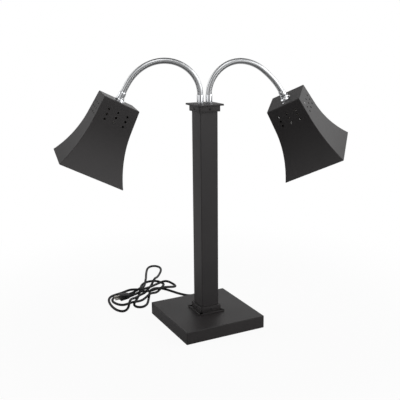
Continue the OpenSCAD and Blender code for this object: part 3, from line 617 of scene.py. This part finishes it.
foot_collar = collar_casting(hole_half)
foot_collar.transform(Matrix.Translation((0, 0, base_top)))
foot_collar = new_piece("foot_collar_casting", foot_collar)
dress(foot_collar, black_coat, "stand", ["foot_collar"])
top_cap = collar_casting(0)
top_cap.transform(Matrix.Translation((0, 0, cap_top)) @ Matrix.Diagonal((1, 1, -1, 1)))
bmesh.ops.recalc_face_normals(top_cap, faces=top_cap.faces)
top_cap = new_piece("top_cap_casting", top_cap)
dress(top_cap, black_coat, "stand", ["top_cap"])

black_oxide = Finish("black_oxide_screw", Metallic=0.7)
black_oxide.colour(
    black_oxide.blend(black_oxide.grain(900), (0.018, 0.018, 0.019), (0.035, 0.034, 0.034))
)
black_oxide.roughness(0.34 + 0.2 * black_oxide.grain(1200))
facing_x = Matrix.Translation((collar_half, 0, 0)) @ along_x
quarter_turns = [Matrix.Rotation(math.radians(90 * i), 4, "Z") for i in range(4)]
screw_z = (collar_h + flange_t) / 2
for name, height in (("foot_collar", base_top + screw_z), ("top_cap", cap_top - screw_z)):
    screw = socket_screw(head=0.0032, shank=0.002, long=0.0052, rise=0.0014)
    set_screws = gathered((screw, [quarter @ facing_x for quarter in quarter_turns]))
    set_screws.transform(Matrix.Translation((0, 0, height)))
    set_screws = new_piece(f"{name}_set_screws", set_screws)
    dress(set_screws, black_oxide, "stand", [f"{name}_screws"])

# Lower ferrules: turned brass, polished and chromed. Each stands on the cap, with a lock nut under
# the roof, and holds the first end of a neck in its cup.
chrome = Finish("polished_chrome", Base_Color=(0.62, 0.63, 0.645), Metallic=1.0)
smear = chrome.grain(70, 4)
chrome.roughness(0.05 + 0.07 * smear.rise(0.45, 0.8))
NECK_X = {"left": -0.013, "right": 0.013}
ferrule_h, nipple_bore, nipple_r, cup_r = 0.024, 0.0034, 0.005, 0.00798
ferrule_outline = [(nipple_bore, -0.009), (nipple_r, -0.009), (nipple_r, 0), (0.0086, 0)]
ferrule_outline += [(0.009, 0.0004), (0.009, 0.0030), (0.0086, 0.0034), (0.0086, 0.0042)]
ferrule_outline += [(0.009, 0.0046), (0.009, 0.0228), (0.0088, 0.0236), (0.0084, ferrule_h)]
ferrule_outline += [(cup_r, 0.0237), (cup_r, 0.004), (nipple_bore, 0.004), (nipple_bore, -0.009)]
for side, x in NECK_X.items():
    ferrule = turned(ferrule_outline)
    ferrule.transform(Matrix.Translation((x, 0, cap_top)))
    ferrule = new_piece(f"neck_foot_{side}", ferrule, 25)
    dress(ferrule, chrome, "stand", [f"{side}_lower_ferrule"])
as_made("neck_lock_nuts", "lock_nuts_in_cap", nickel)

# Necks: steel strip wound into a flexible tube, bent by hand and chromed. Each is drawn straight
# with its windings, then laid on the neck's line. Where two CAD lengths meet, one piece spans the
# hinge as the neck lies at rest, and rides on no body.
neck_r, groove, shoulder, winding, flex_long = 0.0079, 0.0006, 0.00012, 0.00286, 0.286
in_lower_cup, in_upper_cup = 0.0192, 0.0115
SHARES = [0.1, 0.2, 0.2, 0.2, 0.2, 0.1]
TURNED = {"left": 162.6, "right": -10.7}
TURNS = {"left": [19, 37, 33, 31, 27.5, 5.5], "right": [21.5, 36, 38.5, 30, 14, 9]}


def neck_line(side, s):
    """The frame of a neck's centre line at s metres from its lower ferrule, with Z along it."""
    out, up, heading = 0.0, cap_top + ferrule_h, 90.0
    for share, turn in zip(SHARES, TURNS[side]):
        long = share * flex_long
        part = min(max(s, 0), long)
        if part:
            radius = long / math.radians(turn)
            after = heading - turn * part / long
            out += radius * (math.sin(math.radians(heading)) - math.sin(math.radians(after)))
            up += radius * (math.cos(math.radians(after)) - math.cos(math.radians(heading)))
            heading = after
        s -= part
    place = Matrix.Translation((NECK_X[side], 0, 0))
    place @= Matrix.Rotation(math.radians(TURNED[side]), 4, "Z")
    place @= Matrix.Translation((out, 0, up))
    place @= Matrix.Rotation(math.radians(90 - heading), 4, "Y")
    return place @ Matrix.Translation((0, 0, s))


def wound_tube(side, low, high):
    """A stretch of neck between two distances along it, with a groove between its windings."""
    # The numbers are shares of a winding: its shoulders, and the round edges of its flat top.
    outline = []
    turns = round((high - low) / winding)
    pitch = (high - low) / turns
    for i in range(turns):
        z = low + i * pitch
        outline += [(neck_r - groove, z), (neck_r - shoulder, z + 0.09 * pitch)]
        outline += [(neck_r, z + share * pitch) for share in (0.16, 0.22, 0.78, 0.84)]
        outline.append((neck_r - shoulder, z + 0.91 * pitch))
    outline.append((neck_r - groove, high))
    bm = turned(outline, 40)
    for vert in bm.verts:
        vert.co = neck_line(side, vert.co.z) @ Vector((vert.co.x, vert.co.y, 0))
    return bm


neck_chrome = Finish("wound_chrome", Base_Color=(0.56, 0.567, 0.575), Metallic=1.0)
wear = neck_chrome.grain(120, 3)
neck_chrome.roughness(0.1 + 0.1 * wear.rise(0.4, 0.8))
ends = [sum(SHARES[:k]) * flex_long for k in range(7)]
middles = [(a + b) / 2 for a, b in zip(ends, ends[1:])]
for side in NECK_X:
    for name, k, low, high in (
        ("first", 1, -in_lower_cup, middles[0]),
        ("last", 6, middles[5], flex_long + in_upper_cup),
    ):
        part = new_piece(f"neck_{side}_{name}", wound_tube(side, low, high), 50)
        dress(part, neck_chrome, f"{side}_length_{k}", [f"{side}_neck_{k}"])
    for k in range(1, 6):
        low, high = middles[k - 1], middles[k]
        part = new_piece(f"neck_{side}_bend_{k}", wound_tube(side, low, high), 50)
        dress(part, neck_chrome, None)
        f"{side}_length_{k + 1}"
        neck_line(side, low).translation
        neck_line(side, high).translation
        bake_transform(part)
        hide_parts(*([f"{side}_neck_{k + 1}"] if k < 5 else []))

# Head fittings: a chromed ferrule screwed onto the neck's end, whose nipple passes through a
# spun collar, the shade's top and the holder's bracket to a lock nut. The head turns on it.
upper_h, head_collar_h, collar_bore = 0.015, 0.011, 0.00508
TWIST = {"left": -172.6, "right": -35.1}


def head_place(side):
    """The frame of a head: the middle of the shade's top plate, with the shade below it."""
    end = neck_line(side, flex_long + upper_h + head_collar_h)
    upwards = Matrix.Rotation(math.pi, 4, "Y")
    return end @ upwards @ Matrix.Rotation(math.radians(TWIST[side]), 4, "Z")


upper_outline = [(nipple_bore, -0.0085), (nipple_r, -0.0085), (nipple_r, head_collar_h)]
upper_outline += [(0.0089, head_collar_h), (0.0095, 0.0116), (0.0095, 0.0148), (0.0090, 0.0153)]
upper_outline += [(0.0090, 0.0160), (0.0095, 0.0165), (0.0095, 0.0222), (0.0092, 0.0236)]
upper_outline += [(0.0086, 0.0254), (0.0083, 0.026), (cup_r, 0.0258), (cup_r, 0.014)]
upper_outline += [(nipple_bore, 0.014), (nipple_bore, -0.0085)]
spun_outline = [(collar_bore, 0), (0.0146, 0), (0.015, 0.0004), (0.0148, 0.0016)]
spun_outline += [(0.0138, 0.0030), (0.0125, 0.0042), (0.0116, 0.0056), (0.0111, 0.0072)]
spun_outline += [(0.011, 0.0100), (0.0106, 0.0106), (collar_bore, 0.0107), (collar_bore, 0)]
for side in NECK_X:
    upper = turned(upper_outline)
    upper.transform(head_place(side))
    upper = new_piece(f"neck_end_{side}", upper, 25)
    dress(upper, chrome, f"{side}_length_6", [f"{side}_upper_ferrule"])
    spun = turned(spun_outline)
    spun.transform(head_place(side))
    spun = new_piece(f"head_collar_{side}", spun, 25)
    dress(spun, chrome, f"{side}_head", [f"{side}_head_collar"])
    as_made(f"{side}_head_lock_nut", f"lock_nut_{side}", nickel, f"{side}_length_6")

# Shades: 1 mm sheet steel, four flared sides folded from a flat top and welded at the corners,
# with nine round vents in each side and satin black powder coat inside and out.
top_half, straight_h, shade_h, flare_r, taper = 0.0486, 0.060, 0.1985, 0.365, math.radians(3.2)
vent_r, vent_across, vent_down, vent_first = 0.003, 0.026, 0.0135, 0.025
shade_sheet_t, fold_round, columns, rows = 0.001, 0.0011, 12, 26


def shade_half(h):
    """Half of the shade's width at depth h below its top."""
    if h <= straight_h:
        return top_half + h * math.tan(taper)
    centre = top_half + straight_h * math.tan(taper) + flare_r * math.cos(taper)
    return centre - math.sqrt(flare_r**2 - (h - straight_h + flare_r * math.sin(taper)) ** 2)


def shade_sheet():
    """The whole folded sheet: a plain upper band with its vents, a flare, and the top."""
    band = bmesh.new()
    bend = shade_half(straight_h)
    outline = [Vector((top_half, top_half, 0)), Vector((top_half, -top_half, 0))]
    for i in range(columns + 1):
        outline.append(Vector((bend, bend * (2 * i / columns - 1), -straight_h)))
    corners = [band.verts.new(point) for point in outline]
    for a, b in zip(corners, corners[1:] + corners[:1]):
        band.edges.new((a, b))
    for row in range(3):
        for column in (-1, 0, 1):
            depth = vent_first + row * vent_down
            hole = Matrix.Translation((shade_half(depth), column * vent_across, -depth))
            hole @= Matrix.Rotation(math.radians(90) - taper, 4, "Y")
            bmesh.ops.create_circle(band, cap_ends=False, radius=vent_r, segments=24, matrix=hole)
    bmesh.ops.triangle_fill(band, use_beauty=True, use_dissolve=False, edges=band.edges)
    flare = bmesh.new()
    bmesh.ops.create_grid(flare, x_segments=columns, y_segments=rows, size=1)
    for vert in flare.verts:
        h = straight_h + (shade_h - straight_h) * (1 - vert.co.y) / 2
        vert.co = (shade_half(h), vert.co.x * shade_half(h), -h)
    top = bmesh.new()
    bmesh.ops.create_grid(top, x_segments=1, y_segments=1, size=top_half)
    sheet = gathered((band, quarter_turns), (flare, quarter_turns), (top, here))
    bmesh.ops.remove_doubles(sheet, verts=sheet.verts, dist=1e-5)
    bmesh.ops.recalc_face_normals(sheet, faces=sheet.faces)
    soften(sheet, fold_round, 4, sharper_than=50)
    return sheet


shade_coat = powder_coat(
    "shade_powder_coat", (0.021, 0.0186, 0.019), (0.0246, 0.0218, 0.0222), rough=0.38
)
for side in NECK_X:
    shade = shade_sheet()
    shade.transform(head_place(side))
    shade = new_piece(f"shade_{side}", shade)
    sheet_metal(shade, shade_sheet_t)
    dress(shade, shade_coat, f"{side}_head", [f"{side}_shade"])

# Top screws: two bright plated pan heads on each shade, one to either side of the collar.
# They hold the lamp holder's bracket under the shade's top.
bright_steel = Finish("bright_screw", Base_Color=(0.78, 0.78, 0.8), Metallic=1.0)
bright_steel.roughness(0.1 + 0.12 * bright_steel.grain(600))
top_screw_y = 0.033
for side in NECK_X:
    pair = [Matrix.Translation((0, y, 0)) for y in (-top_screw_y, top_screw_y)]
    screw = socket_screw(head=0.0038, shank=0.002, long=0.006, rise=0.0022)
    screws = gathered((screw, pair))
    screws.transform(head_place(side))
    screws = new_piece(f"top_screws_{side}", screws)
    dress(screws, bright_steel, f"{side}_head", [f"{side}_shade_screws"])

# Lamp holders: glazed porcelain on a folded zinc-plated bracket below the shade's top.
# Each has a brass thread for the bulb, and a brass centre contact.
porcelain = Finish("glazed_porcelain", Coat_Weight=0.3, Coat_Roughness=0.1)
crackle = porcelain.grain(40, 3)
porcelain.colour(porcelain.blend(crackle, (0.62, 0.59, 0.53), (0.55, 0.52, 0.46)))
porcelain.roughness(0.18 + 0.12 * crackle)
brass = Finish("brass", Metallic=1.0)
tarnish = brass.grain(180, 3)
brass.colour(brass.blend(tarnish, (0.78, 0.58, 0.25), (0.62, 0.43, 0.17)))
brass.roughness(0.22 + 0.2 * tarnish)
for side in NECK_X:
    head = f"{side}_head"
    as_made(f"{side}_holder_bracket", f"bracket_{side}", zinc, head)
    as_made(f"{side}_lamp_holder", f"porcelain_{side}", porcelain, head)
    as_made(f"{side}_holder_shell", f"thread_{side}", brass, head)
    as_made(f"{side}_centre_contact", f"contact_{side}", brass, head)

# Heat bulbs: blown reflector glass, silvered inside the cone and frosted on the face, with a
# nickel-plated screw cap. A coiled filament hangs on a glass stem inside.
frosted = Finish("frosted_glass", Transmission_Weight=0.35, IOR=1.46)
etch = frosted.grain(120)
frosted.colour(frosted.blend(etch, (0.86, 0.84, 0.80), (0.79, 0.76, 0.71)))
frosted.roughness(0.32 + 0.12 * etch)
frosted.relief(frosted.grain(700), 0.0001, 0.4)
silvered = Finish("silvered_glass", Base_Color=(0.72, 0.71, 0.69), Metallic=0.9, Coat_Weight=0.5)
silvered.roughness(0.16 + 0.14 * silvered.grain(60))
tungsten = Finish("tungsten_wire", Base_Color=(0.34, 0.33, 0.32), Metallic=1.0)
tungsten.roughness(0.35 + 0.15 * tungsten.grain(900))
cap_end, cone_top, cone_end, face_end = -0.050, -0.059, -0.160, -0.184
bulb_r, bulb_neck, silver_end, cone_steps, face_steps = 0.0635, 0.0136, -0.156, 15, 10
bulb_outline = [(0.011, cap_end + 0.006), (0.012, cap_end + 0.006), (0.012, cap_end)]
bulb_outline += [(bulb_neck, cap_end - 0.0004), (bulb_neck, cone_top)]
for i in range(1, cone_steps + 1):
    down = i / cone_steps
    radius = bulb_neck + (bulb_r - bulb_neck) * math.sin(math.pi / 2 * down)
    bulb_outline.append((radius, cone_top + (cone_end - cone_top) * down))
for i in range(1, face_steps + 1):
    a = math.radians(90 * i / face_steps)
    bulb_outline.append((bulb_r * math.cos(a), cone_end + (face_end - cone_end) * math.sin(a)))
for side in NECK_X:
    bulb = turned(bulb_outline, 72)
    for face in bulb.faces:
        face.material_index = 1 if face.calc_center_median().z > silver_end else 0
    bulb.transform(head_place(side))
    bulb = new_piece(f"bulb_{side}", bulb, 40)
    bulb.data.materials.append(frosted.material)
    bulb.data.materials.append(silvered.material)
    dress(bulb, frosted, f"{side}_head", [f"{side}_bulb_glass"])
    as_made(f"{side}_bulb_cap", f"screw_cap_{side}", nickel, f"{side}_head")
    as_made(f"{side}_filament", f"filament_{side}", tungsten, f"{side}_head")

# Studio: a white table that keeps a faint shadow and fades into a white wall behind the lamp, soft
# light from five sides of the room, and one soft lamp at the right. Bright metal mirrors the wall,
# and painted reflections that light nothing: three white card-like patches and a dark table front.
behind = (0.45, 0.89, 0)
table = bmesh.new()
bmesh.ops.create_grid(table, x_segments=1, y_segments=1, size=6)
# The table lies a hair below the mat and the lead, so that no two faces share a place.
table.transform(Matrix.Translation((0, 0, -0.0004)))
table = new_piece("table", table)
white_top = Finish("white_table", Roughness=0.9, Specular_IOR_Level=0.0)
white_top.colour(white_top.blend(white_top.grain(3), (0.82, 0.82, 0.82), (0.8, 0.8, 0.8)))
length = {"operation": "LENGTH"}
away = white_top.node("ShaderNodeVectorMath", length, {0: white_top.place()}, "Value")
seen, mirrored = white_top.ray("Camera"), white_top.ray("Glossy", "Transmission")
# Painted reflection: gloss and glass see the table glow grey, and that glow is painted nearly
# black within a metre in front of the lamp, so the chrome shows dark lower sides.
in_front = 1 - white_top.towards(white_top.place(), behind).rise(-0.5, 0.5)
painted_dark_reflection = in_front * (1 - away.rise(0.8, 1.8))
glowing = seen * (0.94 + 0.06 * away.rise(0.4, 1.1)) + 0.7 * mirrored
shadowed = Field(white_top, white_top.shader.outputs[0])
# Camera rays see the white table; gloss and glass see the painted grey and its painted dark front.
backdrop_and_painted_reflection = seen + mirrored * (0.52 - 0.49 * painted_dark_reflection)
glow = white_top.node("ShaderNodeEmission", {}, {"Color": backdrop_and_painted_reflection})
table_look = white_top.node("ShaderNodeMixShader", {}, {0: glowing, 1: shadowed, 2: glow})
white_top.put(white_top.tree.nodes["Material Output"].inputs["Surface"], table_look)
table.data.materials.append(white_top.material)

world = bpy.data.worlds.new("room")
bpy.context.scene.world = world
world.use_nodes = True
world.node_tree.nodes.clear()
room = Nodes(world.node_tree)
looking = room.node("ShaderNodeTexCoord", {}, {}, "Generated")


def glow_from(turn, direction, strength, focus):
    """Light from a direction, turned about Z by degrees. A higher focus makes it narrower."""
    middle = Matrix.Rotation(math.radians(turn), 3, "Z") @ Vector(direction)
    return strength * room.towards(looking, tuple(middle)).above(0.0) ** focus


# Each soft wall has its turn about Z in degrees and its strength. Each painted highlight, a card
# that only gloss sees and that lights nothing, has its turn, its rise and its strength.
WALLS = [(0, 1.2), (45, 1.1), (135, 2.6), (225, 0.8), (315, 2.5)]
PAINTED_HIGHLIGHTS = [(195, 0, 1.6), (290, 0, 1.6), (243, 55, 3.0)]
walls = [glow_from(turn, (0.94, 0, 0.34), strength, 10) for turn, strength in WALLS]
painted_highlights = []
for turn, rise, strength in PAINTED_HIGHLIGHTS:
    direction = (math.cos(math.radians(rise)), 0, math.sin(math.radians(rise)))
    painted_highlights.append(glow_from(turn, direction, strength, 16))
# The painted highlights are added for gloss only, so they show in metal and light nothing.
light = {"Color": sum(walls) + room.ray("Glossy") * sum(painted_highlights)}
soft_light = room.node("ShaderNodeBackground", {}, light)
white_wall = room.node("ShaderNodeBackground", {}, {"Color": (1.0, 1.0, 1.0)})
mirrored_wall = room.ray("Glossy", "Transmission") * room.towards(looking, behind).rise(0.9, 0.98)
shares = {0: room.ray("Camera") + mirrored_wall, 1: soft_light, 2: white_wall}
room_look = room.node("ShaderNodeMixShader", {}, shares)
room.node("ShaderNodeOutputWorld", {}, {"Surface": room_look}, None)

side_lamp = bpy.data.lights.new("side_lamp", "AREA")
side_lamp.shape = "RECTANGLE"
side_lamp.size, side_lamp.size_y, side_lamp.energy = 0.8, 1.6, 13.6
lamp_stand = bpy.data.objects.new("side_lamp", side_lamp)
lamp_stand.location = (2.3, -0.9, 1.5)
aim = Vector((0, 0, 0.4)) - lamp_stand.location
lamp_stand.rotation_mode = "QUATERNION"
lamp_stand.rotation_quaternion = aim.to_track_quat("-Z", "Y")
bpy.context.scene.collection.objects.link(lamp_stand)
bpy.context.scene.view_settings.view_transform = "Standard"

low, high = cad_box
